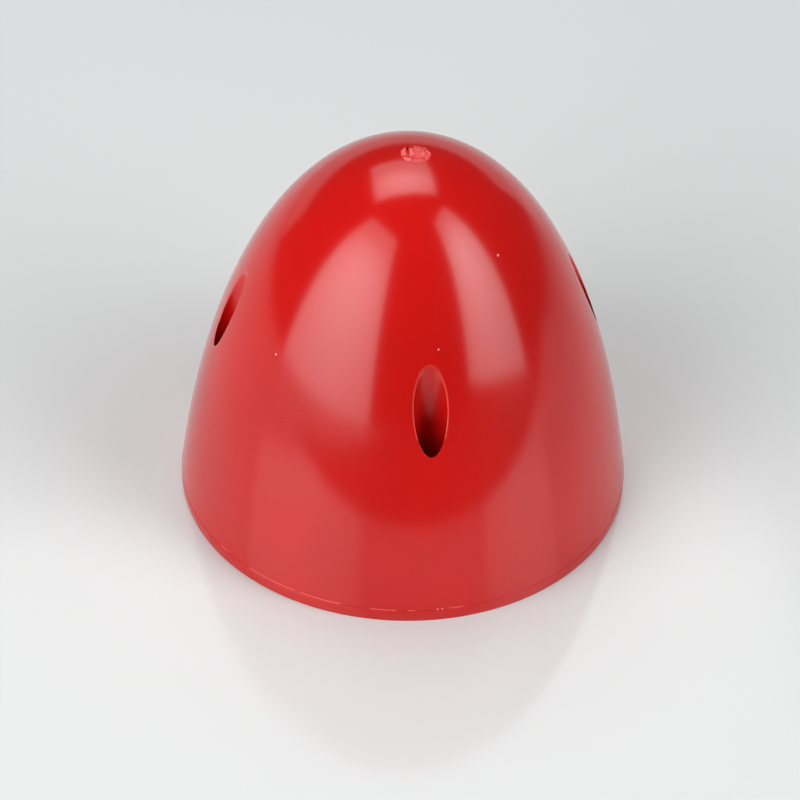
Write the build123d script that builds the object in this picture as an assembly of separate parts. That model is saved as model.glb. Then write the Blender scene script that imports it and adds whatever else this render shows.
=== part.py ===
from build123d import *
import os

# Overall form, in millimetres. The spinner stands on its rear face, nose up, with its axis on Z.
spinner_diameter = 82.5
spinner_height = 72.35
gate_trim = 0.13

# Dome line in three tangent arcs: the flank's lean at the rim and turns of flank and shoulder in
# degrees, then the radius of the round nose
rim_lean = 5.8
flank_turn = 15.7
shoulder_turn = 20.1
nose_radius = 25.3

# Nose cone moulding
shell_wall = 2.2
rim_wall = 2.15
register_depth = 5.0
rim_bevel = 0.15

# Screw towers, moulded into the cone
tower_count = 4
tunnel_diameter = 5.9
tower_wall = 1.5
floor_thickness = 2.6
web_thickness = 1.6

# Back plate moulding
flange_height = 2.4
flange_step = 0.05
flange_bevel = 0.15
ring_wall = 1.6
ring_lead_in = 0.5
hub_diameter = 26.0
hub_height = 7.0
rib_count = 8
rib_height = 3.0
rib_thickness = 1.6
boss_diameter = 8.0
washer_diameter = 24.0
washer_pocket_depth = 0.5
relief_depth = 0.7
relief_land = 3.0
base_skin = 0.8

# Engine shaft that the hub fits
shaft_diameter = 8.0

# Pan-head screws that cut their own thread
screw_length = 9.5
screw_diameter = 2.9
head_diameter = 5.6
head_height = 2.1
head_side = 0.9
crown_diameter = 4.0
tip_length = 2.2
tip_diameter = 0.6
recess_width = 0.75
recess_span = 3.2
recess_depth = 1.3

# Clearances between the pieces
register_clearance = 0.15
ring_gap = 1.0
tower_ring_gap = 0.85
tower_gap = 0.1
shaft_clearance = 0.05
screw_clearance = 0.15
thread_clearance = 0.05
tip_room = 0.3

# Sizes that follow from the ones above
spinner_radius = spinner_diameter / 2
cone_radius = spinner_radius - flange_step
apex_height = spinner_height + gate_trim
register_radius = cone_radius - rim_wall
ring_radius = register_radius - register_clearance
ring_height = register_depth - ring_gap
ring_inner_radius = ring_radius - ring_wall
tunnel_radius = tunnel_diameter / 2
tower_outer = tunnel_radius + tower_wall
tower_radius = ring_inner_radius - tower_ring_gap - tower_outer
boss_radius = boss_diameter / 2
hub_radius = hub_diameter / 2
screw_radius = screw_diameter / 2
head_radius = head_diameter / 2
foot_height = base_skin + tip_room + screw_length - floor_thickness
head_seat = foot_height + floor_thickness
web_foot = max(foot_height, flange_height + register_depth)
front_angle = -90
seam_angle = front_angle + 180 / tower_count

UPRIGHT = (Align.CENTER, Align.CENTER, Align.MIN)
DOWNWARD = (Align.CENTER, Align.CENTER, Align.MAX)
OUTWARD = (Align.MIN, Align.CENTER, Align.MIN)


def disc(radius, bottom, top):
    """Round block on the axis between two heights, its seam midway between two towers."""
    block = Cylinder(radius, top - bottom, align=UPRIGHT)
    return Pos(0, 0, bottom) * Rot(0, 0, seam_angle) * block


def ring(inner, outer, bottom, top):
    """Round wall on the axis between two heights."""
    return disc(outer, bottom, top) - disc(inner, bottom, top)


def post(radius, bottom, top):
    """Round post between two heights, at its own axis."""
    return Pos(0, 0, bottom) * Cylinder(radius, top - bottom, align=UPRIGHT)


def outward(angle):
    """Direction that points away from the axis and up by an angle, as X and Y of a side view."""
    return Vector(1, 0).rotate(Axis.Z, angle)


def dome_line(inset):
    """Line of the nose cone from rim to nose, moved inwards by the inset.

    Each arc carries the line by its radius times the change of its outward direction. The radii of
    flank and shoulder follow, because the three arcs together reach from the rim to the apex.
    """
    rim = Vector(cone_radius, flange_height)
    apex = Vector(0, apex_height)
    flank_end = rim_lean + flank_turn
    shoulder_end = flank_end + shoulder_turn
    flank_change = outward(flank_end) - outward(rim_lean)
    shoulder_change = outward(shoulder_end) - outward(flank_end)
    nose_change = outward(90) - outward(shoulder_end)

    reach = apex - rim - nose_change * nose_radius
    spread = flank_change.cross(shoulder_change).Z
    flank_radius = reach.cross(shoulder_change).Z / spread
    shoulder_radius = flank_change.cross(reach).Z / spread

    flank_centre = rim - outward(rim_lean) * flank_radius
    shoulder_centre = flank_centre + outward(flank_end) * (flank_radius - shoulder_radius)
    nose_centre = apex - outward(90) * nose_radius
    flank = CenterArc(flank_centre, flank_radius - inset, rim_lean, flank_turn)
    shoulder = CenterArc(shoulder_centre, shoulder_radius - inset, flank_end, shoulder_turn)
    nose = CenterArc(nose_centre, nose_radius - inset, shoulder_end, 90 - shoulder_end)
    return Wire([Plane.XZ * arc for arc in (flank, shoulder, nose)])


def turned(line):
    """Solid of revolution between a dome line and the axis, its seam midway between two towers."""
    foot = line @ 0
    top = line @ 1
    section = Wire([*line.edges(), Line(top, (0, 0, foot.Z)), Line((0, 0, foot.Z), foot)])
    return Rot(0, 0, seam_angle) * revolve(Face(section), Axis.Z)


def tower_places():
    """Places of the screw towers, the first one at the front."""
    return PolarLocations(tower_radius, tower_count, start_angle=front_angle)


def make_nose_cone():
    """Moulded dome with four towers whose tunnels break out through its flank."""
    shell = turned(dome_line(0)) - turned(dome_line(shell_wall))
    shell -= disc(register_radius, 0, flange_height + register_depth)

    tower_room = turned(dome_line(shell_wall / 2))
    web_height = spinner_height / 2 - web_foot
    for place in tower_places():
        tower = post(tower_outer, foot_height, apex_height)
        web = Box(spinner_radius - tower_radius, web_thickness, web_height, align=OUTWARD)
        tower += Pos(0, 0, web_foot) * web
        shell += (place * tower) & tower_room
    for place in tower_places():
        shell -= place * post(tunnel_radius, head_seat, apex_height)
        shell -= place * post(screw_radius + screw_clearance, 0, head_seat)

    shell -= disc(spinner_radius, spinner_height, apex_height + shell_wall)
    rim = shell.edges().group_by(Axis.Z)[0].sort_by(SortBy.RADIUS)[-1]
    return chamfer(rim, rim_bevel)


def make_back_plate():
    """Moulded disc with the rim flange, locating ring, shaft hub, ribs and screw bosses."""
    plate = disc(spinner_radius, 0, flange_height)
    plate = chamfer(plate.edges().group_by(Axis.Z)[0], flange_bevel)
    plate = chamfer(plate.edges().group_by(Axis.Z)[-1], rim_bevel)

    ring_top = flange_height + ring_height
    locating_ring = ring(ring_inner_radius, ring_radius, 0, ring_top)
    lead_in = locating_ring.edges().group_by(Axis.Z)[-1].sort_by(SortBy.RADIUS)[-1]
    plate += chamfer(lead_in, ring_lead_in)
    plate += disc(hub_radius, 0, hub_height)

    rib_length = ring_inner_radius + ring_wall / 2
    for place in PolarLocations(0, rib_count, start_angle=front_angle):
        rib = Box(rib_length, rib_thickness, flange_height + rib_height, align=OUTWARD)
        plate += place * rib

    boss_top = foot_height - tower_gap
    for place in tower_places():
        plate += place * post(boss_radius, 0, boss_top)
    for place in tower_places():
        plate -= place * post(screw_radius + thread_clearance, base_skin, boss_top)

    washer_radius = washer_diameter / 2
    relief_outer = tower_radius - boss_radius - relief_land / 2
    plate -= disc(washer_radius, 0, washer_pocket_depth)
    plate -= ring(washer_radius + relief_land, relief_outer, 0, relief_depth)
    plate -= disc(shaft_diameter / 2 + shaft_clearance, 0, hub_height)
    return plate


def make_screw():
    """Pan-head screw with its head seat at the origin and its shank pointing down."""
    screw = post(head_radius, 0, head_side)
    crown = Cone(head_radius, crown_diameter / 2, head_height - head_side, align=UPRIGHT)
    screw += Pos(0, 0, head_side) * crown
    shank_length = screw_length - tip_length
    screw += Cylinder(screw_radius, shank_length, align=DOWNWARD)
    tip = Cone(tip_diameter / 2, screw_radius, tip_length, align=UPRIGHT)
    screw += Pos(0, 0, -screw_length) * tip
    for turn in (0, 90):
        slot = Box(recess_span, recess_width, recess_depth, align=DOWNWARD)
        screw -= Pos(0, 0, head_height) * Rot(0, 0, turn) * slot
    return screw


os.makedirs("parts", exist_ok=True)
export_step(make_nose_cone(), "parts/nose_cone.step")
export_step(make_back_plate(), "parts/back_plate.step")
for number, place in enumerate(tower_places(), start=1):
    screw = place * Pos(0, 0, head_seat) * make_screw()
    export_step(screw, f"parts/screw_{number}.step")
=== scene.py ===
import math

import bmesh
import bpy
from mathutils import Matrix, Vector, noise


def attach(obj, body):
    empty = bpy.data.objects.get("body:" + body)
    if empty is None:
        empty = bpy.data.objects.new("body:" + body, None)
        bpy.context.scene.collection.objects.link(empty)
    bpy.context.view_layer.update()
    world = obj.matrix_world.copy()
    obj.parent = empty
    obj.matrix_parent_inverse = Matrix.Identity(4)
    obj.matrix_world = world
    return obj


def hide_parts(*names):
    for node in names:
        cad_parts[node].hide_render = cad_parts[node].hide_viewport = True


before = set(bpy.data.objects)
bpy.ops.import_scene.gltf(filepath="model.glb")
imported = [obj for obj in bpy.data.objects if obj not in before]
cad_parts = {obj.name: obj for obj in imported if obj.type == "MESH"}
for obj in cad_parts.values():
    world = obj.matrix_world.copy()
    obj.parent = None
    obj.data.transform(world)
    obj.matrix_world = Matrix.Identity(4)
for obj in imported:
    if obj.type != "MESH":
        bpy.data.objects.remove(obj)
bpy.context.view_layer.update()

# Sizes of the mouldings, in metres, with the nose up on Z
MM = 0.001
touch = 0.001 * MM
hair = 0.01 * MM
plate_radius = 41.235 * MM
flange_height = 2.4 * MM
flange_foot_round = 0.13 * MM
tunnel_radius = 2.95 * MM
tower_wall = 1.5 * MM
tower_circle = 32.0 * MM
tower_foot = 8.0 * MM
screw_seat = 10.6 * MM
shank_hole_radius = 1.6 * MM
web_thickness = 1.6 * MM
web_top = 36.2 * MM
shell_wall = 2.2 * MM
register_radius = 39.05 * MM
register_top = 7.4 * MM

# Back plate: locating ring, hub, ribs, screw bosses and the two hollows under it
ring_outer = 38.9 * MM
ring_inner = 37.3 * MM
ring_top = 6.4 * MM
ring_lead_in = 0.5 * MM
hub_radius = 13.0 * MM
hub_top = 7.0 * MM
shaft_hole_radius = 4.05 * MM
rib_thickness = 1.6 * MM
rib_top = 5.4 * MM
rib_start = 8.0 * MM
rib_end = 38.1 * MM
boss_radius = 4.0 * MM
boss_top = 7.9 * MM
thread_hole_radius = 1.5 * MM
base_skin = 0.8 * MM
washer_radius = 12.0 * MM
washer_depth = 0.5 * MM
relief_inner = 15.0 * MM
relief_outer = 26.5 * MM
relief_depth = 0.7 * MM
plate_edge_round = 0.15 * MM
rim_top_round = 0.025 * MM
rib_foot = 1.5 * MM
boss_foot = 1.2 * MM
boss_sides = 48
rib_count = 8

# Screws: pan head with a cross recess, and a cut thread down to the point
head_radius = 2.8 * MM
head_height = 2.1 * MM
head_side = 0.9 * MM
screw_length = 9.5 * MM
thread_crest = 1.43 * MM
thread_core = 1.05 * MM
thread_pitch = 1.1 * MM
tip_length = 2.2 * MM
recess_span = 3.2 * MM
recess_width = 0.75 * MM
recess_depth = 1.3 * MM
recess_taper = 0.5
ridge_half_height = 0.3 * thread_pitch
ridge_sink = 0.1 * MM
ridge_turns = 9
ridge_steps = 28
screw_turns = (12, 67, 38, 81)

# Dome line from rim to nose as one Bezier curve: end, handle, handle, end, each as radius and height
dome_rim = (41.2 * MM, 2.4 * MM)
dome_flank = (36.7 * MM, 39.7 * MM)
dome_nose = (23.4 * MM, 72.38 * MM)
dome_apex = (0.0, 72.38 * MM)

tower_angles = {"front": -90, "right": 0, "back": 90, "left": 180}


def dome_point(share):
    """Radius and height on the dome line, at a share of the way from rim to nose."""
    rest = 1 - share
    weights = (rest**3, 3 * rest**2 * share, 3 * rest * share**2, share**3)
    ends = (dome_rim, dome_flank, dome_nose, dome_apex)
    radius = sum(weight * end[0] for weight, end in zip(weights, ends))
    height = sum(weight * end[1] for weight, end in zip(weights, ends))
    return radius, height


def dome_height(radius):
    """Height of the dome's skin at a distance from the axis."""
    low, high = 0.0, 1.0
    for _ in range(40):
        middle = (low + high) / 2
        if dome_point(middle)[0] > radius:
            low = middle
        else:
            high = middle
    return dome_point(low)[1]


def inner_dome_point(share):
    """Radius and height on the inside of the wall, square to the same place on the dome line."""
    step = 0.0005
    before = dome_point(max(share - step, 0))
    after = dome_point(min(share + step, 1))
    run = Vector((after[0] - before[0], after[1] - before[1])).normalized()
    radius, height = dome_point(share)
    return max(radius - run.y * shell_wall, 0), height + run.x * shell_wall


# Tools of the bench: selecting, moving, spinning and joining


def deselect_all():
    """Nothing is left selected, so that the next operator acts on its own piece only."""
    if bpy.context.object and bpy.context.object.mode != "OBJECT":
        bpy.ops.object.mode_set(mode="OBJECT")
    bpy.ops.object.select_all(action="DESELECT")


def take(piece):
    """Makes a piece the only selected and active one."""
    deselect_all()
    piece.select_set(True)
    bpy.context.view_layer.objects.active = piece


def edit(piece):
    """Opens a piece in edit mode with nothing selected in its mesh."""
    take(piece)
    bpy.ops.object.mode_set(mode="EDIT")
    bpy.ops.mesh.select_mode(type="VERT")
    bpy.ops.mesh.select_all(action="DESELECT")


def close_edit():
    """Leaves edit mode."""
    bpy.ops.object.mode_set(mode="OBJECT")


def select_vertices(piece, wanted):
    """Selects the vertices that a test picks, with the edges and faces between them."""
    bpy.ops.mesh.select_mode(type="VERT")
    mesh = bmesh.from_edit_mesh(piece.data)
    for vertex in mesh.verts:
        vertex.select = wanted(vertex)
    mesh.select_flush_mode()
    bmesh.update_edit_mesh(piece.data)


def select_edges(piece, wanted):
    """Selects only the edges that a test picks."""
    bpy.ops.mesh.select_mode(type="EDGE")
    mesh = bmesh.from_edit_mesh(piece.data)
    for edge in mesh.edges:
        edge.select_set(False)
    for edge in mesh.edges:
        if wanted(edge):
            edge.select_set(True)
    bmesh.update_edit_mesh(piece.data)


def select_faces(piece, wanted):
    """Selects only the faces that a test picks."""
    bpy.ops.mesh.select_mode(type="FACE")
    mesh = bmesh.from_edit_mesh(piece.data)
    for face in mesh.faces:
        face.select_set(False)
    for face in mesh.faces:
        if wanted(face):
            face.select_set(True)
    bmesh.update_edit_mesh(piece.data)


def move_selected(piece, place):
    """Puts every selected vertex where a function of its own place says."""
    mesh = bmesh.from_edit_mesh(piece.data)
    for vertex in mesh.verts:
        if vertex.select:
            vertex.co = place(vertex.co)
    bmesh.update_edit_mesh(piece.data)


def close_shell(piece):
    """Merges doubles and points every face outwards."""
    edit(piece)
    bpy.ops.mesh.select_all(action="SELECT")
    bpy.ops.mesh.remove_doubles(threshold=touch)
    bpy.ops.mesh.normals_make_consistent(inside=False)
    close_edit()


def combine(piece, tool, operation):
    """Joins a tool to a piece or cuts it away, and removes the tool."""
    take(piece)
    cut = piece.modifiers.new(operation.lower(), "BOOLEAN")
    cut.operation = operation
    cut.solver = "EXACT"
    cut.object = tool
    bpy.ops.object.modifier_apply(modifier=cut.name)
    bpy.data.objects.remove(tool)


def smooth(piece, degrees=40):
    """Smooth shading that keeps edges sharper than an angle."""
    take(piece)
    bpy.ops.object.shade_smooth_by_angle(angle=math.radians(degrees))
    deselect_all()


def flat_point(radius, height):
    """A radius and a height as a place in the XZ plane."""
    return Vector((radius, 0, height))


def profile_piece(name, points):
    """Edge line in the XZ plane through radius and height pairs, ready to be spun."""
    deselect_all()
    bpy.ops.mesh.primitive_plane_add(size=MM)
    piece = bpy.context.object
    piece.name = name
    edit(piece)
    bpy.ops.mesh.select_all(action="SELECT")
    bpy.ops.mesh.merge(type="CENTER")
    bpy.ops.mesh.select_all(action="SELECT")
    move_selected(piece, lambda place: flat_point(*points[0]))
    for point, next_point in zip(points, points[1:]):
        step = flat_point(*next_point) - flat_point(*point)
        bpy.ops.mesh.extrude_region_move(TRANSFORM_OT_translate={"value": step})
    close_edit()
    return piece


def spin_round(piece, steps):
    """Spins a profile once round the axis and closes it."""
    edit(piece)
    bpy.ops.mesh.select_all(action="SELECT")
    bpy.ops.mesh.spin(steps=steps, angle=2 * math.pi, center=(0, 0, 0), axis=(0, 0, 1))
    close_edit()
    close_shell(piece)


def post(radius, bottom, top, centre, sides=96):
    """Round post between two heights."""
    deselect_all()
    bpy.ops.mesh.primitive_cylinder_add(
        vertices=sides,
        radius=radius,
        depth=top - bottom,
        location=(centre.x, centre.y, (bottom + top) / 2),
    )
    piece = bpy.context.object
    bpy.ops.object.transform_apply(location=True, rotation=True, scale=True)
    return piece


def bar(length, width, bottom, top, start, angle):
    """Straight bar that runs from a place in plan in one direction, between two heights."""
    deselect_all()
    run = Vector((math.cos(angle), math.sin(angle), 0))
    middle = start + run * (length / 2)
    bpy.ops.mesh.primitive_cube_add(
        size=1,
        location=(middle.x, middle.y, (bottom + top) / 2),
        rotation=(0, 0, angle),
        scale=(length, width, top - bottom),
    )
    piece = bpy.context.object
    bpy.ops.object.transform_apply(location=True, rotation=True, scale=True)
    return piece


def round_top_edges(piece, top, width):
    """Rounds the edges of a piece that lie at its top."""
    edit(piece)
    select_edges(piece, lambda edge: all(vertex.co.z > top - touch for vertex in edge.verts))
    bpy.ops.mesh.bevel(offset=width, offset_type="OFFSET", segments=3, affect="EDGES")
    close_edit()


def tower_place(side):
    """Centre of a screw tower in plan."""
    angle = math.radians(tower_angles[side])
    return Vector((tower_circle * math.cos(angle), tower_circle * math.sin(angle), 0))


# Nose cone: dome skin, thin flash at its rim, screw tunnels with their mouths, gate scar, hollow inside

skin_steps = 384
line_steps = 120
hollow_steps = 48
mouth_points = 96
rim_skin = (41.184 * MM, 2.64 * MM)
rim_root = (41.19 * MM, 2.56 * MM)
rim_tip = (41.198 * MM, 2.48 * MM)
rim_foot = ((41.19 * MM, 2.425 * MM), (41.15 * MM, 2.404 * MM), (40.8 * MM, 2.4 * MM))
flash_reach = 0.035 * MM
seam_inside = 41 * MM
mouth_soft_depth = 0.5 * MM
mouth_soft_width = 0.3 * MM
radial_share = 0.45
mouth_cut_margin = 1.5 * MM
mouth_wall_drop = 1.2 * MM
mouth_outer_rings = (0.45 * MM, 0.85 * MM)
tunnel_ring_rise = 12 * MM
floor_corner = 0.1 * MM
# Painted highlight along each mouth's lip: its width, and its strength at the top and at the foot of
# the mouth
edge_highlight_width = 0.2 * MM
edge_highlight_top = 0.15
edge_highlight_foot = 0.75

gate_centre = Vector((0.9 * MM, 0.95 * MM, 0))
gate_across = Vector((0.992, -0.126, 0))
gate_away = Vector((0.126, 0.992, 0))
gate_radius = 3.3 * MM
gate_ragged_radius = 2.66 * MM
gate_edge_width = 0.14 * MM
gate_zone = 71 * MM
gate_cut = 72.13 * MM
gate_top = 72.335 * MM
gate_lean = 0.02
facet_relief = 1.3
gate_points = 256

# Stretches of flash on the seam, from and to in degrees from the front tunnel towards the right
flash_runs = (
    (-60, -57.5),
    (-49.3, -34.7),
    (-33.8, -23),
    (-15.3, -8.6),
    (-6.1, -4.3),
    (4.5, 8),
    (52, 61),
)
long_run_reach = 65

# Facets of the snapped gate, in millimetres from its centre: centre across and away from the front,
# half sizes, slopes across and away, rise
gate_facets = (
    ((-0.78, 1.2), (0.36, 1.35), (0.0, 0.24), 0.1),
    ((-2.0, 0.8), (0.45, 1.1), (0.1, 0.16), 0.02),
    ((-1.4, 0.9), (0.2, 1.1), (0.0, -0.12), -0.12),
    ((0.3, 1.1), (0.66, 1.4), (0.03, 0.07), 0.0),
    ((1.75, 0.75), (0.66, 1.1), (-0.08, 0.16), 0.03),
    ((1.7, 0.3), (0.16, 0.14), (0.0, 0.0), -0.16),
    ((-0.2, -0.85), (1.0, 0.24), (0.0, 0.34), 0.02),
    ((1.7, -0.6), (1.0, 0.16), (0.0, -0.1), -0.18),
    ((0.1, -1.75), (0.78, 0.85), (0.0, 0.08), -0.02),
    ((-1.4, -1.7), (0.72, 0.9), (0.1, 0.26), 0.02),
    ((1.6, -1.6), (0.75, 0.7), (-0.1, 0.12), -0.03),
    ((-2.0, -0.6), (0.6, 0.3), (0.0, -0.02), -0.06),
    ((-0.9, -0.42), (0.16, 0.13), (0.0, 0.0), -0.16),
    ((1.9, -2.1), (0.16, 0.14), (0.0, 0.0), -0.12),
)


def flash_at(place):
    """How much flash stands on the seam at a place: long runs at the front, faint bits elsewhere."""
    turn = math.degrees(math.atan2(place.x, -place.y))
    if any(start < turn < end for start, end in flash_runs):
        return 0.75 + 0.25 * noise.noise(Vector((turn * 0.5, 0, 2)))
    grain = noise.noise(place * 260) + 0.4 * noise.noise(place * 900)
    quiet = 0.5 if abs(turn) > long_run_reach else 0.12
    return quiet * min(max((grain - 0.25) * 3, 0), 1)


def dome_skin():
    """Outer skin of the nose cone, with thin flash at its rim, closed below by a flat face."""
    deselect_all()
    bpy.ops.curve.primitive_bezier_curve_add()
    line = bpy.context.object
    line.name = "nose_cone_shell"
    line.data.resolution_u = line_steps
    knots = line.data.splines[0].bezier_points
    for knot in knots:
        knot.handle_left_type = "FREE"
        knot.handle_right_type = "FREE"
    knots[0].co = knots[0].handle_left = flat_point(*dome_rim)
    knots[0].handle_right = flat_point(*dome_flank)
    knots[1].handle_left = flat_point(*dome_nose)
    knots[1].co = knots[1].handle_right = flat_point(*dome_apex)
    bpy.ops.object.convert(target="MESH")
    skin = bpy.context.object

    edit(skin)
    select_vertices(skin, lambda vertex: vertex.co.z < dome_rim[1] + hair)
    move_selected(skin, lambda place: flat_point(*rim_skin))
    last = rim_skin
    for point in (rim_root, rim_tip, *rim_foot):
        step = flat_point(*point) - flat_point(*last)
        bpy.ops.mesh.extrude_region_move(TRANSFORM_OT_translate={"value": step})
        last = point
    close_edit()
    spin_round(skin, skin_steps)

    edit(skin)

    def with_flash(place):
        outward = Vector((place.x, place.y, 0)).normalized()
        return place + outward * flash_reach * flash_at(place)

    select_vertices(skin, lambda vertex: rim_foot[1][1] + hair < vertex.co.z < rim_root[1] - 2 * hair)
    move_selected(skin, with_flash)
    select_vertices(skin, lambda vertex: vertex.co.z < last[1] + touch)
    bpy.ops.mesh.edge_face_add()
    close_edit()
    close_shell(skin)
    return skin


def on_skin(place):
    """The same place in plan, at the height of the dome's skin."""
    return Vector((place.x, place.y, dome_height(math.hypot(place.x, place.y))))


def plan_offset(place, centre):
    """How far a place lies from a tower's centre, across the flank and outwards from the axis."""
    outward = centre.normalized()
    across = Vector((-outward.y, outward.x, 0))
    offset = Vector((place.x, place.y, 0)) - centre
    return offset.dot(across), offset.dot(outward), across, outward


def mouth_ring(side, margin, drop=0.0):
    """Function that puts a point of the tunnel's round on the skin, a margin outside the mouth."""
    centre = tower_place(side)

    def place(point):
        width, reach, across, outward = plan_offset(point, centre)
        turn = math.atan2(width, reach)
        wide = (tunnel_radius + margin) * math.sin(turn)
        far = (tunnel_radius + radial_share * margin) * math.cos(turn)
        return on_skin(centre + outward * far + across * wide) - Vector((0, 0, drop))

    return place


def mouth_curve(side, share):
    """Function that puts a point on the soft edge between tunnel and skin, a share of the way out."""
    wall_end = mouth_ring(side, 0, drop=mouth_soft_depth)
    corner = mouth_ring(side, 0)
    skin_end = mouth_ring(side, mouth_soft_width)

    def place(point):
        rest = 1 - share
        first = wall_end(point) * rest**2
        return first + corner(point) * (2 * rest * share) + skin_end(point) * share**2

    return place


def in_mouth_area(side, margin):
    """Test for faces of the skin that lie in a mouth's oval or within a margin of it."""
    centre = tower_place(side)

    def inside(face):
        spot = face.calc_center_median()
        width, reach, _, _ = plan_offset(spot, centre)
        wide = width / (tunnel_radius + margin)
        far = reach / (tunnel_radius + radial_share * margin)
        return spot.z > screw_seat and wide**2 + far**2 < 1

    return inside


def sleeve_ring(side, radius, height):
    """Function that puts a point of a tunnel's round at a radius and height."""
    centre = tower_place(side)

    def place(point):
        offset = Vector((point.x, point.y, 0)) - centre
        return centre + offset.normalized() * radius + Vector((0, 0, height))

    return place


def open_edge_near(centre, reach, above):
    """Test for open edges of the mesh near a place in plan and above a height."""

    def wanted(edge):
        if not edge.is_boundary:
            return False
        middle = (edge.verts[0].co + edge.verts[1].co) / 2
        near = math.hypot(middle.x - centre.x, middle.y - centre.y) < reach
        return near and middle.z > above

    return wanted


def add_tunnel(skin, side):
    """Cuts a mouth into the skin and sinks its tunnel, floor and shank hole."""
    centre = tower_place(side)
    deep_end = tower_foot - 1 * MM
    ring_height = screw_seat + tunnel_ring_rise
    edit(skin)
    select_faces(skin, in_mouth_area(side, mouth_cut_margin))
    bpy.ops.mesh.delete(type="FACE")

    bpy.ops.mesh.select_mode(type="EDGE")
    bpy.ops.mesh.select_all(action="DESELECT")
    bpy.ops.mesh.primitive_circle_add(
        vertices=mouth_points, radius=shank_hole_radius, fill_type="NGON", location=centre
    )
    move_selected(skin, sleeve_ring(side, shank_hole_radius, deep_end))
    walls = [
        sleeve_ring(side, shank_hole_radius, screw_seat),
        sleeve_ring(side, tunnel_radius - floor_corner, screw_seat),
        sleeve_ring(side, tunnel_radius, screw_seat + floor_corner),
        sleeve_ring(side, tunnel_radius, ring_height),
        mouth_ring(side, 0, drop=mouth_wall_drop),
    ]
    walls += [mouth_curve(side, step / 4) for step in range(5)]
    walls += [mouth_ring(side, margin) for margin in mouth_outer_rings]
    for place in walls:
        bpy.ops.mesh.extrude_edges_move()
        move_selected(skin, place)
    select_edges(skin, open_edge_near(centre, tunnel_radius + 5 * MM, ring_height))
    bpy.ops.mesh.fill(use_beauty=True)
    close_edit()


def gate_height(place):
    """Height of the snapped gate's scar: tilted torn facets inside a ragged edge."""
    offset = place - gate_centre
    across = offset.dot(gate_across) / MM
    away = offset.dot(gate_away) / MM
    skin = on_skin(place).z
    turn = math.atan2(away, across)
    edge_grain = noise.noise(Vector((1.9 * math.cos(turn), 1.9 * math.sin(turn), 4.0)))
    edge_grain += 0.4 * noise.noise(Vector((6 * math.cos(turn), 6 * math.sin(turn), 1.0)))
    ragged = gate_ragged_radius + 0.13 * MM * edge_grain
    inside = min(max((ragged - offset.length) / gate_edge_width + 0.5, 0), 1)

    shift = 0.16 * noise.noise(Vector((across * 2.1, away * 1.3, 3.3)))
    lift = 0.1 * noise.noise(Vector((across * 1.4, away * 2.6, 8.1)))
    nearest = None
    for centre, half, slope, rise in gate_facets:
        side = across + shift - centre[0]
        far = away + lift - centre[1]
        reach = math.hypot(side / half[0], far / half[1])
        if nearest is None or reach < nearest[0]:
            nearest = (reach, rise + slope[0] * side + slope[1] * far)
    fine = 0.022 * noise.noise(Vector((across * 3.2, away * 1.8, 0.7)))
    fine += 0.006 * noise.noise(Vector((across * 13, away * 7, 5.1)))
    cut = gate_cut - gate_lean * offset.x - gate_lean * offset.y
    torn = min(cut + (nearest[1] * facet_relief + fine) * MM, gate_top)
    return skin + (torn - skin) * inside


def add_gate_scar(skin):
    """Puts the torn scar of the snapped gate into the skin beside the apex."""
    edit(skin)
    clear = gate_radius + 0.4 * MM

    def by_gate(face):
        spot = face.calc_center_median()
        beside = math.hypot(spot.x - gate_centre.x, spot.y - gate_centre.y)
        return spot.z > register_top and beside < clear

    def on_scar(place):
        flat = Vector((place.x, place.y, 0))
        return flat + Vector((0, 0, gate_height(flat)))

    select_faces(skin, by_gate)
    bpy.ops.mesh.delete(type="FACE")
    bpy.ops.mesh.select_mode(type="EDGE")
    bpy.ops.mesh.select_all(action="DESELECT")
    bpy.ops.mesh.primitive_circle_add(
        vertices=gate_points, radius=gate_radius, fill_type="NOTHING", location=gate_centre
    )
    bpy.ops.mesh.fill_grid(span=gate_points // 4)
    move_selected(skin, on_scar)
    select_edges(skin, open_edge_near(gate_centre, gate_radius + 2 * MM, register_top))
    bpy.ops.mesh.fill(use_beauty=True)
    close_edit()


def hollow_tool():
    """Block of the cone's hollow: register and inside of the dome, less the four screw towers."""
    line = [(0, 0), (register_radius, 0), (register_radius, register_top)]
    inner = [inner_dome_point(step / hollow_steps) for step in range(hollow_steps + 1)]
    line += [point for point in inner if point[1] > register_top + 0.3 * MM]
    tool = profile_piece("hollow", line)
    spin_round(tool, 192)
    for side, angle in tower_angles.items():
        centre = tower_place(side)
        tower = post(tunnel_radius + tower_wall, tower_foot, dome_apex[1], centre)
        combine(tool, tower, "DIFFERENCE")
        web_length = plate_radius - tower_circle
        web = bar(web_length, web_thickness, tower_foot, web_top, centre, math.radians(angle))
        combine(tool, web, "DIFFERENCE")
    return tool


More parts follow.
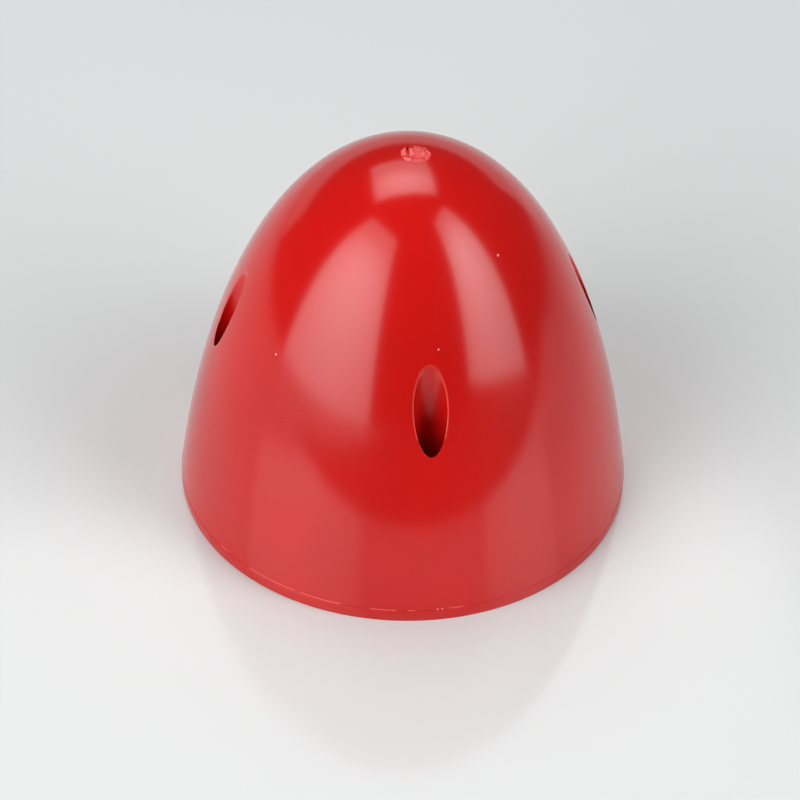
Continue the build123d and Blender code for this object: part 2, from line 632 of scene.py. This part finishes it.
def mark_finish(piece):
    """Attributes for the material: torn gate; flash, which also holds a painted highlight along each
    mouth's lip; and the tunnels' walls.
    """
    for name in ("torn", "flash", "bore"):
        piece.data.attributes.new(name, "FLOAT", "POINT")
    torn = piece.data.attributes["torn"]
    flash = piece.data.attributes["flash"]
    bore = piece.data.attributes["bore"]
    centres = [tower_place(side) for side in tower_angles]
    for vertex, value, thin, wall in zip(piece.data.vertices, torn.data, flash.data, bore.data):
        place = vertex.co
        if place.z > screw_seat - hair:
            centre = min(centres, key=lambda middle: (place.xy - middle.xy).length)
            width, reach, _, _ = plan_offset(place, centre)
            off = math.hypot(width, reach)
            wall.value = 1 if off < tunnel_radius + 4 * touch else 0
            # Painted highlight: a pale line along each mouth's lip, paler at its foot where the rounded
            # edge faces up, stored in the flash attribute
            if place.z > web_top and 4 * touch < off - tunnel_radius < edge_highlight_width:
                thin.value = edge_highlight_top + (edge_highlight_foot - edge_highlight_top) * (0.5 + 0.5 * reach / off)
        beside = Vector((place.x, place.y, 0)) - gate_centre
        if place.z > gate_zone and beside.length < gate_radius:
            value.value = min(max((on_skin(place).z - place.z) / (2 * hair), 0), 1)
        elif rim_foot[1][1] + hair < place.z < rim_root[1] + hair:
            if place.xy.length > seam_inside:
                thin.value = flash_at(place)


def make_nose_cone():
    """Moulded dome with its four tunnels, gate scar and hollow."""
    cone = dome_skin()
    for side in tower_angles:
        add_tunnel(cone, side)
    add_gate_scar(cone)
    close_shell(cone)
    combine(cone, hollow_tool(), "DIFFERENCE")
    smooth(cone)
    mark_finish(cone)
    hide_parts("nose_cone")
    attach(cone, "root")
    return cone


# Back plate: rim flange, locating ring, hub with its shaft hole, ribs and screw bosses


def make_back_plate():
    """Moulded plate with every edge slightly rounded."""
    line = (
        (shaft_hole_radius, washer_depth),
        (washer_radius, washer_depth),
        (washer_radius, 0),
        (relief_inner, 0),
        (relief_inner, relief_depth),
        (relief_outer, relief_depth),
        (relief_outer, 0),
        (plate_radius, 0),
        (plate_radius, flange_height),
        (ring_outer, flange_height),
        (ring_outer, ring_top - ring_lead_in),
        (ring_outer - ring_lead_in, ring_top),
        (ring_inner, ring_top),
        (ring_inner, flange_height),
        (hub_radius, flange_height),
        (hub_radius, hub_top),
        (shaft_hole_radius, hub_top),
        (shaft_hole_radius, washer_depth),
    )
    plate = profile_piece("back_plate_shell", line)
    edit(plate)
    bpy.ops.mesh.select_all(action="SELECT")
    bpy.ops.mesh.remove_doubles(threshold=touch)
    close_edit()
    spin_round(plate, 288)

    def on_rim_top(edge):
        ends = [vertex.co for vertex in edge.verts]
        return all(end.xy.length > plate_radius - hair and end.z > flange_height - hair for end in ends)

    def on_corner(edge):
        first, second = (vertex.co for vertex in edge.verts)
        level = abs(first.z - second.z) < touch
        round_it = abs(first.xy.length - second.xy.length) < touch
        return level and round_it and edge.calc_face_angle(0) > 0.5

    def on_inner_corner(edge):
        off_rim = abs(edge.verts[0].co.xy.length - plate_radius)
        return on_corner(edge) and off_rim > 6 * hair

    def on_foot(edge):
        end = edge.verts[0].co
        return on_corner(edge) and end.z < touch and end.xy.length > plate_radius - hair

    edit(plate)
    select_edges(plate, on_rim_top)
    bpy.ops.mesh.bevel(offset=rim_top_round, offset_type="OFFSET", segments=2, affect="EDGES")
    select_edges(plate, on_inner_corner)
    bpy.ops.mesh.bevel(offset=plate_edge_round, offset_type="OFFSET", segments=3, affect="EDGES")
    select_edges(plate, on_foot)
    bpy.ops.mesh.bevel(offset=flange_foot_round, offset_type="OFFSET", segments=3, affect="EDGES")
    close_edit()

    for number in range(rib_count):
        angle = math.radians(360 / rib_count * number - 90)
        start = Vector((math.cos(angle), math.sin(angle), 0)) * rib_start
        rib = bar(rib_end - rib_start, rib_thickness, rib_foot, rib_top, start, angle)
        round_top_edges(rib, rib_top, plate_edge_round)
        combine(plate, rib, "UNION")
    for side in tower_angles:
        boss = post(boss_radius, boss_foot, boss_top, tower_place(side))
        round_top_edges(boss, boss_top, plate_edge_round)
        combine(plate, boss, "UNION")
    for side in tower_angles:
        above = boss_top + 1 * MM
        hole = post(thread_hole_radius, base_skin, above, tower_place(side), sides=boss_sides)
        combine(plate, hole, "DIFFERENCE")
    smooth(plate)
    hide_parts("back_plate")
    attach(plate, "root")
    return plate


# Screws: one is modelled at the origin, then copied to each tower at its own turn


def thread_ridge():
    """Helical ridge of the cut thread, longer than the shank at both ends."""
    root = thread_core - ridge_sink
    low = (root, -ridge_half_height)
    high = (root, ridge_half_height)
    ridge = profile_piece("thread", (low, (thread_crest, 0), high, low))
    edit(ridge)
    bpy.ops.mesh.select_all(action="SELECT")
    bpy.ops.mesh.remove_doubles(threshold=touch)
    bpy.ops.mesh.select_all(action="SELECT")
    bpy.ops.mesh.edge_face_add()
    close_edit()
    winding = ridge.modifiers.new("winding", "SCREW")
    winding.axis = "Z"
    winding.angle = math.radians(360)
    winding.screw_offset = -thread_pitch
    winding.iterations = ridge_turns
    winding.steps = ridge_steps
    winding.render_steps = ridge_steps
    winding.use_merge_vertices = False
    take(ridge)
    bpy.ops.object.modifier_apply(modifier=winding.name)
    close_shell(ridge)
    return ridge


def make_screw():
    """Pan-head screw with its head seat at the origin and its shank pointing down."""
    dome_steps = 8
    crown = []
    for step in range(dome_steps + 1):
        turn = math.pi / 2 * step / dome_steps
        radius = head_radius * math.sin(turn) ** 0.8
        crown.append((radius, head_side + (head_height - head_side) * math.cos(turn) ** 0.9))
    line = [(0, head_height)] + crown[1:]
    line += [(head_radius, 0.15 * MM), (head_radius - 0.1 * MM, 0), (thread_core, 0)]
    line += [(thread_core, tip_length * 0.3 - screw_length * 0.9), (0, -screw_length + 0.3 * MM)]
    screw = profile_piece("screw", line)
    spin_round(screw, 64)

    ridge = thread_ridge()
    edit(ridge)
    bpy.ops.mesh.select_all(action="SELECT")
    bpy.ops.transform.translate(value=(0, 0, 0.2 * MM))
    close_edit()
    envelope_line = (
        (0, -0.4 * MM),
        (thread_crest + 0.2 * MM, -0.4 * MM),
        (thread_crest + 0.2 * MM, -screw_length + tip_length),
        (0.25 * MM, -screw_length),
        (0, -screw_length),
    )
    envelope = profile_piece("envelope", envelope_line)
    spin_round(envelope, 48)
    combine(ridge, envelope, "INTERSECT")
    combine(screw, ridge, "UNION")

    for turn in (0, 90):
        deselect_all()
        bpy.ops.mesh.primitive_cube_add(
            size=1,
            location=(0, 0, head_height - recess_depth / 2 + 0.25 * MM),
            rotation=(0, 0, math.radians(turn)),
            scale=(recess_span, recess_width, recess_depth + 0.5 * MM),
        )
        slot = bpy.context.object
        bpy.ops.object.transform_apply(location=True, rotation=True, scale=True)
        edit(slot)
        select_vertices(slot, lambda vertex: vertex.co.z < head_height - recess_depth + hair)
        bpy.ops.transform.resize(value=(recess_taper, recess_taper, 1), center_override=(0, 0, 0))
        close_edit()
        combine(screw, slot, "DIFFERENCE")
    smooth(screw, 35)
    return screw


def place_screws(model):
    """Copies the screw to the four towers, each stopped at a turn of its own."""
    screws = []
    for number, (side, turn) in enumerate(zip(tower_angles, screw_turns), start=1):
        take(model)
        bpy.ops.object.duplicate()
        screw = bpy.context.object
        screw.name = f"screw_{number}_shell"
        centre = tower_place(side)
        seat = Matrix.Translation((centre.x, centre.y, screw_seat))
        screw.matrix_world = seat @ Matrix.Rotation(math.radians(turn), 4, "Z")
        bpy.ops.object.transform_apply(location=True, rotation=True, scale=True)
        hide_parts(f"screw_{number}")
        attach(screw, "root")
        screws.append(screw)
    bpy.data.objects.remove(model)
    return screws


# Materials


def new_material(name):
    """Node material with its Principled shader."""
    material = bpy.data.materials.new(name)
    material.use_nodes = True
    shader = material.node_tree.nodes["Principled BSDF"]
    return material, material.node_tree.nodes, material.node_tree.links, shader


def new_group(name, inputs, outputs):
    """Empty node group with its named inputs and outputs."""
    group = bpy.data.node_groups.new(name, "ShaderNodeTree")
    for label, kind in inputs:
        group.interface.new_socket(name=label, in_out="INPUT", socket_type=kind)
    for label, kind in outputs:
        group.interface.new_socket(name=label, in_out="OUTPUT", socket_type=kind)
    entry = group.nodes.new("NodeGroupInput")
    leave = group.nodes.new("NodeGroupOutput")
    return group, group.nodes, group.links, entry, leave


def math_node(nodes, links, operation, first, second=None, clamp=False):
    """Math node whose inputs are sockets or plain numbers."""
    node = nodes.new("ShaderNodeMath")
    node.operation = operation
    node.use_clamp = clamp
    for socket, value in zip(node.inputs, (first, second)):
        if value is None:
            continue
        if isinstance(value, (int, float)):
            socket.default_value = value
        else:
            links.new(value, socket)
    return node.outputs["Value"]


def mix_colour(nodes, links, factor, first, second):
    """Colour mix of two sockets or plain colours."""
    node = nodes.new("ShaderNodeMix")
    node.data_type = "RGBA"
    links.new(factor, node.inputs["Factor"])
    for socket, value in ((node.inputs["A"], first), (node.inputs["B"], second)):
        if isinstance(value, tuple):
            socket.default_value = value
        else:
            links.new(value, socket)
    return node.outputs["Result"]


def fade(nodes, links, value, start, end):
    """Smooth step from 0 at one value to 1 at another."""
    node = nodes.new("ShaderNodeMapRange")
    node.interpolation_type = "SMOOTHSTEP"
    node.inputs["From Min"].default_value = start
    node.inputs["From Max"].default_value = end
    links.new(value, node.inputs["Value"])
    return node.outputs["Result"]


def make_moulding_group():
    """Marks of moulded plastic: slow tone drift, fine scratches, dust specks and a faint ripple."""
    amounts = [(label, "NodeSocketFloat") for label in ("Scratches", "Specks")]
    results = [(label, "NodeSocketFloat") for label in ("Tone", "Scratch", "Speck", "Ripple")]
    inputs = [("Vector", "NodeSocketVector")] + amounts
    group, nodes, links, entry, leave = new_group("moulded_surface", inputs, results)
    drift = nodes.new("ShaderNodeTexNoise")
    drift.inputs["Scale"].default_value = 28
    drift.inputs["Detail"].default_value = 3
    links.new(entry.outputs["Vector"], drift.inputs["Vector"])
    links.new(drift.outputs["Fac"], leave.inputs["Tone"])

    found = None
    for turn, scale in (((0.3, 0.9, 0.4), (2600, 90, 60)), ((1.1, 0.2, 1.9), (2100, 70, 75))):
        mapping = nodes.new("ShaderNodeMapping")
        mapping.inputs["Rotation"].default_value = turn
        mapping.inputs["Scale"].default_value = scale
        links.new(entry.outputs["Vector"], mapping.inputs["Vector"])
        lines = nodes.new("ShaderNodeTexNoise")
        lines.inputs["Scale"].default_value = 1
        lines.inputs["Detail"].default_value = 1
        links.new(mapping.outputs["Vector"], lines.inputs["Vector"])
        sharp = fade(nodes, links, lines.outputs["Fac"], 0.73, 0.79)
        found = sharp if found is None else math_node(nodes, links, "MAXIMUM", found, sharp)
    patches = nodes.new("ShaderNodeTexNoise")
    patches.inputs["Scale"].default_value = 75
    links.new(entry.outputs["Vector"], patches.inputs["Vector"])
    patchy = fade(nodes, links, patches.outputs["Fac"], 0.45, 0.65)
    scratched = math_node(nodes, links, "MULTIPLY", found, patchy)
    scratched = math_node(nodes, links, "MULTIPLY", scratched, entry.outputs["Scratches"])
    links.new(scratched, leave.inputs["Scratch"])

    dust = nodes.new("ShaderNodeTexVoronoi")
    dust.inputs["Scale"].default_value = 330
    links.new(entry.outputs["Vector"], dust.inputs["Vector"])
    near = fade(nodes, links, dust.outputs["Distance"], 0.07, 0.03)
    choice = nodes.new("ShaderNodeSeparateColor")
    links.new(dust.outputs["Color"], choice.inputs["Color"])
    few = fade(nodes, links, choice.outputs["Red"], 0.96, 0.98)
    speck = math_node(nodes, links, "MULTIPLY", near, few)
    speck = math_node(nodes, links, "MULTIPLY", speck, entry.outputs["Specks"])
    links.new(speck, leave.inputs["Speck"])

    ripple = nodes.new("ShaderNodeTexNoise")
    ripple.inputs["Scale"].default_value = 210
    ripple.inputs["Detail"].default_value = 2
    links.new(entry.outputs["Vector"], ripple.inputs["Vector"])
    links.new(ripple.outputs["Fac"], leave.inputs["Ripple"])
    return group


def spot_mask(nodes, links, vector, place, size):
    """Soft round mask about one place on a piece."""
    distance = nodes.new("ShaderNodeVectorMath")
    distance.operation = "DISTANCE"
    links.new(vector, distance.inputs[0])
    distance.inputs[1].default_value = place
    return fade(nodes, links, distance.outputs["Value"], size, size * 0.4)


def on_flank(turn, height):
    """Place on the dome's skin at an angle from the front tunnel and a height."""
    low, high = 0.0, 1.0
    for _ in range(30):
        middle = (low + high) / 2
        if dome_point(middle)[1] < height:
            low = middle
        else:
            high = middle
    radius = dome_point(low)[0]
    angle = math.radians(turn)
    return Vector((radius * math.sin(angle), -radius * math.cos(angle), height))


# Small marks that the photograph shows: angle from the front tunnel, height and size
pale_marks = (
    (-55.4, 44.3, 0.3),
    (40.4, 61.8, 0.3),
    (3.5, 51.3, 0.22),
    (1.4, 2.52, 0.22),
    (2.6, 2.52, 0.2),
)
dark_marks = ((-91.6, 53.5, 0.35), (3.5, 50.8, 0.2), (23, 30.4, 0.18))

moulded_red = (0.505, 0.0034, 0.0018, 1)
torn_red = (0.64, 0.022, 0.017, 1)
# Paler red of the seam's flash, also used for the painted highlight along the mouths' lips
flash_and_edge_highlight_red = (0.85, 0.12, 0.1, 1)
speck_red = (0.75, 0.3, 0.27, 1)
scuff_red = (0.8, 0.25, 0.22, 1)
pale_mark_red = (0.85, 0.42, 0.4, 1)
dark_mark_red = (0.2, 0.004, 0.004, 1)
tone_change = 0.06
torn_roughness = 0.24
bore_roughness = 0.34
scratch_roughness = 0.15
plastic_ior = 1.55


def make_red_plastic(name, marks, base, rough, ripple_height):
    """Glossy red moulded plastic with fine scratches, specks and a slight ripple in its shine."""
    material, nodes, links, shader = new_material(name)
    place = nodes.new("ShaderNodeTexCoord").outputs["Object"]
    surface = nodes.new("ShaderNodeGroup")
    surface.node_tree = marks
    surface.inputs["Scratches"].default_value = 0.12
    surface.inputs["Specks"].default_value = 0.6
    links.new(place, surface.inputs["Vector"])

    light = tuple(channel * (1 + tone_change) for channel in base[:3]) + (1,)
    dark = tuple(channel * (1 - tone_change) for channel in base[:3]) + (1,)
    tone = fade(nodes, links, surface.outputs["Tone"], 0.35, 0.65)
    colour = mix_colour(nodes, links, tone, dark, light)
    speckle = math_node(nodes, links, "MULTIPLY", surface.outputs["Speck"], 0.5)
    colour = mix_colour(nodes, links, speckle, colour, speck_red)
    scuff = math_node(nodes, links, "MULTIPLY", surface.outputs["Scratch"], 0.12)
    colour = mix_colour(nodes, links, scuff, colour, scuff_red)

    torn = nodes.new("ShaderNodeAttribute")
    torn.attribute_name = "torn"
    colour = mix_colour(nodes, links, torn.outputs["Fac"], colour, torn_red)
    # The flash attribute carries the seam's flash and the painted highlight along the mouths' lips
    flash = nodes.new("ShaderNodeAttribute")
    flash.attribute_name = "flash"
    colour = mix_colour(nodes, links, flash.outputs["Fac"], colour, flash_and_edge_highlight_red)
    if name == "red_plastic":
        for marked, tint in ((pale_marks, pale_mark_red), (dark_marks, dark_mark_red)):
            found = None
            for turn, height, size in marked:
                spot = on_flank(turn, height * MM)
                mask = spot_mask(nodes, links, place, spot, size * MM)
                found = mask if found is None else math_node(nodes, links, "MAXIMUM", found, mask)
            found = math_node(nodes, links, "MULTIPLY", found, 0.85)
            colour = mix_colour(nodes, links, found, colour, tint)
    links.new(colour, shader.inputs["Base Color"])

    bore = nodes.new("ShaderNodeAttribute")
    bore.attribute_name = "bore"
    torn_share = math_node(nodes, links, "MULTIPLY", torn.outputs["Fac"], torn_roughness)
    scratch_share = math_node(nodes, links, "MULTIPLY", surface.outputs["Scratch"], scratch_roughness)
    bore_share = math_node(nodes, links, "MULTIPLY", bore.outputs["Fac"], bore_roughness)
    roughness = math_node(nodes, links, "MULTIPLY_ADD", surface.outputs["Tone"], 0.05)
    roughness.node.inputs[2].default_value = rough
    roughness = math_node(nodes, links, "MAXIMUM", roughness, torn_share)
    roughness = math_node(nodes, links, "ADD", roughness, scratch_share)
    roughness = math_node(nodes, links, "MAXIMUM", roughness, bore_share)
    links.new(roughness, shader.inputs["Roughness"])
    shader.inputs["IOR"].default_value = plastic_ior

    height = math_node(nodes, links, "SUBTRACT", surface.outputs["Ripple"], surface.outputs["Scratch"])
    bump = nodes.new("ShaderNodeBump")
    bump.inputs["Strength"].default_value = 1
    bump.inputs["Distance"].default_value = ripple_height
    links.new(height, bump.inputs["Height"])
    links.new(bump.outputs["Normal"], shader.inputs["Normal"])
    return material


def make_steel(marks):
    """Zinc plated steel with a faint mottled bloom and drive marks."""
    material, nodes, links, shader = new_material("screw_steel")
    place = nodes.new("ShaderNodeTexCoord").outputs["Object"]
    surface = nodes.new("ShaderNodeGroup")
    surface.node_tree = marks
    surface.inputs["Scratches"].default_value = 1.5
    surface.inputs["Specks"].default_value = 0.6
    links.new(place, surface.inputs["Vector"])
    bloom = nodes.new("ShaderNodeTexNoise")
    bloom.inputs["Scale"].default_value = 1400
    bloom.inputs["Detail"].default_value = 4
    links.new(place, bloom.inputs["Vector"])
    mottle = fade(nodes, links, bloom.outputs["Fac"], 0.35, 0.65)
    colour = mix_colour(nodes, links, mottle, (0.52, 0.53, 0.52, 1), (0.68, 0.67, 0.63, 1))
    colour = mix_colour(nodes, links, surface.outputs["Scratch"], colour, (0.8, 0.8, 0.8, 1))
    links.new(colour, shader.inputs["Base Color"])
    shader.inputs["Metallic"].default_value = 1
    roughness = math_node(nodes, links, "MULTIPLY_ADD", mottle, 0.14)
    roughness.node.inputs[2].default_value = 0.24
    links.new(roughness, shader.inputs["Roughness"])
    bump = nodes.new("ShaderNodeBump")
    bump.inputs["Distance"].default_value = 0.004 * MM
    links.new(bloom.outputs["Fac"], bump.inputs["Height"])
    links.new(bump.outputs["Normal"], shader.inputs["Normal"])
    return material


# Table, camera and lights. A pair of places is where a change on the table starts and ends, in metres

# Painted shade on the table in front of the object: where it starts and ends in depth and across
painted_shade_near_edge = (-0.093, -0.104)
painted_shade_far_edge = (-1.3, -0.7)
painted_shade_left_edge = (-0.26, -0.14)
painted_shade_right_edge = (1.2, 0.6)
left_matt = (-0.1, -0.16)
right_matt = (0.085, 0.13)
right_matt_back = (0.06, 0.0)
table_pale = ((0.652, 0.672, 0.67, 1), (0.67, 0.688, 0.686, 1))
table_sides = (0.55, 0.56, 0.56, 1)
front_painted_shade = (0.09, 0.09, 0.09, 1)


def make_floor():
    """Large table: pale and glossy under the object, matt and darker at its sides, and matt with nearly
    black painted shade far in front.
    """
    deselect_all()
    bpy.ops.mesh.primitive_plane_add(size=6)
    floor = bpy.context.object
    floor.name = "floor"
    material, nodes, links, shader = new_material("pale_table")
    split = nodes.new("ShaderNodeSeparateXYZ")
    links.new(nodes.new("ShaderNodeTexCoord").outputs["Object"], split.inputs["Vector"])
    # Painted shade: a nearly black, matt band on the table in front, which the dome's lower flank
    # mirrors
    front = fade(nodes, links, split.outputs["Y"], *painted_shade_near_edge)
    limits = (("Y", painted_shade_far_edge), ("X", painted_shade_left_edge), ("X", painted_shade_right_edge))
    for axis, limit in limits:
        reach = fade(nodes, links, split.outputs[axis], *limit)
        front = math_node(nodes, links, "MULTIPLY", front, reach)
    left = fade(nodes, links, split.outputs["X"], *left_matt)
    right = fade(nodes, links, split.outputs["X"], *right_matt)
    ahead = fade(nodes, links, split.outputs["Y"], *right_matt_back)
    right = math_node(nodes, links, "MULTIPLY", right, ahead)
    right = math_node(nodes, links, "MULTIPLY", right, 0.5)
    sides = math_node(nodes, links, "MAXIMUM", left, right)
    grain = nodes.new("ShaderNodeTexNoise")
    grain.inputs["Scale"].default_value = 9
    grain.inputs["Detail"].default_value = 2
    pale = mix_colour(nodes, links, grain.outputs["Fac"], *table_pale)
    colour = mix_colour(nodes, links, sides, pale, table_sides)
    colour = mix_colour(nodes, links, front, colour, front_painted_shade)
    links.new(colour, shader.inputs["Base Color"])
    matt = math_node(nodes, links, "MAXIMUM", front, sides)
    roughness = math_node(nodes, links, "MULTIPLY_ADD", matt, 0.7)
    roughness.node.inputs[2].default_value = 0.09
    links.new(roughness, shader.inputs["Roughness"])
    floor.data.materials.append(material)


def make_camera():
    """Camera at the photograph's viewing angle."""
    place = Vector((-74.86, -517.87, 454.4)) * MM
    right = Vector((0.99194, -0.12518, 0.01964))
    up = Vector((0.06537, 0.63832, 0.76699))
    lens = bpy.data.cameras.new("camera")
    lens.lens = 166.55
    lens.sensor_width = 36
    lens.clip_start = 0.01
    lens.clip_end = 20
    camera = bpy.data.objects.new("camera", lens)
    bpy.context.scene.collection.objects.link(camera)
    back = right.cross(up)
    camera.matrix_world = Matrix.Translation(place) @ Matrix((right, up, back)).transposed().to_4x4()
    bpy.context.scene.camera = camera


def direction(azimuth, elevation):
    """Unit vector at an azimuth from -Y towards +X and an elevation, both in degrees."""
    a, e = math.radians(azimuth), math.radians(elevation)
    return Vector((math.sin(a) * math.cos(e), -math.cos(a) * math.cos(e), math.sin(e)))


def softbox(name, middle, half_width, half_height, rim, core, core_place):
    """Rectangular softbox, brighter round one place on its face, from a rim level to a core level."""
    width = half_width.length * 2
    height = half_height.length * 2
    light = bpy.data.lights.new(name, "AREA")
    light.shape = "RECTANGLE"
    light.size = width
    light.size_y = height
    light.energy = math.pi * width * height
    light.use_nodes = True
    nodes = light.node_tree.nodes
    links = light.node_tree.links
    glow = nodes["Emission"]
    face = nodes.new("ShaderNodeNewGeometry").outputs["Parametric"]
    shift = nodes.new("ShaderNodeMapping")
    shift.inputs["Scale"].default_value = (0.6, 1, 1)
    shift.inputs["Location"].default_value = (-0.6 * core_place[0], -core_place[1], 0)
    links.new(face, shift.inputs["Vector"])
    split = nodes.new("ShaderNodeSeparateXYZ")
    links.new(shift.outputs["Vector"], split.inputs["Vector"])
    across = math_node(nodes, links, "MULTIPLY", split.outputs["X"], split.outputs["X"])
    along = math_node(nodes, links, "MULTIPLY", split.outputs["Y"], split.outputs["Y"])
    reach = math_node(nodes, links, "SQRT", math_node(nodes, links, "ADD", across, along))
    warm = fade(nodes, links, reach, 0.5, 0)
    level = math_node(nodes, links, "MULTIPLY_ADD", warm, core - rim)
    level.node.inputs[2].default_value = rim
    links.new(level, glow.inputs["Strength"])

    lamp = bpy.data.objects.new(name, light)
    bpy.context.scene.collection.objects.link(lamp)
    x = half_width.normalized()
    y = half_height.normalized()
    z = x.cross(y)
    if z.dot(middle) < 0:
        x = -x
        z = -z
    lamp.matrix_world = Matrix.Translation(middle) @ Matrix((x, y, z)).transposed().to_4x4()
    return lamp


def make_lights():
    """Soft studio light from two standing softboxes in front, one overhead and a pale wall behind."""
    upright = Vector((0, 0, 1))
    middle = direction(-55, 0) * 0.95 - direction(35, 0) * 0.042 + upright * 1.03
    half_width = direction(35, 0) * 0.538
    softbox("left_softbox", middle, half_width, upright * 1.045, 1.9, 4.8, (0.5, 0.33))

    lean = math.radians(11)
    across = direction(156, 0)
    half_width = (across * math.cos(lean) - upright * math.sin(lean)) * 0.355
    half_height = (across * math.sin(lean) + upright * math.cos(lean)) * 1.165
    middle = direction(66, 0) * 0.95 - across * 0.165 + upright * 0.9
    middle += half_height * 0.264 - half_width * 0.02
    softbox("right_softbox", middle, half_width, half_height, 2.0, 5.0, (0.48, 0.36))

    wall_width = Vector((1.6, 0, 0))
    wall_height = upright * 0.22
    wall_place = Vector((0, 1.5, 0)) + wall_height
    softbox("back_wall", wall_place, wall_width, wall_height, 0.45, 0.5, (0.5, 0.5))

    height = 1.3
    middle = Vector((-0.03 * height, 0.65 * height, height))
    half_width = Vector((0.39 * height, 0, 0))
    half_depth = Vector((0, 0.47 * height, 0))
    softbox("top_softbox", middle, half_width, half_depth, 1.6, 4.1, (0.5, 0.25))

    world = bpy.data.worlds.new("studio")
    bpy.context.scene.world = world
    world.use_nodes = True
    room = world.node_tree.nodes["Background"].inputs
    room["Color"].default_value = (0.95, 0.97, 1, 1)
    room["Strength"].default_value = 0.1


def dress(piece, material):
    """Gives a piece one material."""
    piece.data.materials.clear()
    piece.data.materials.append(material)


marks = make_moulding_group()
dress(make_nose_cone(), make_red_plastic("red_plastic", marks, moulded_red, 0.13, 0.0025 * MM))
dress(make_back_plate(), make_red_plastic("red_plastic_plate", marks, moulded_red, 0.2, 0.004 * MM))
steel = make_steel(marks)
for screw in place_screws(make_screw()):
    dress(screw, steel)
make_floor()
make_camera()
make_lights()
bpy.context.scene.view_settings.view_transform = "Standard"
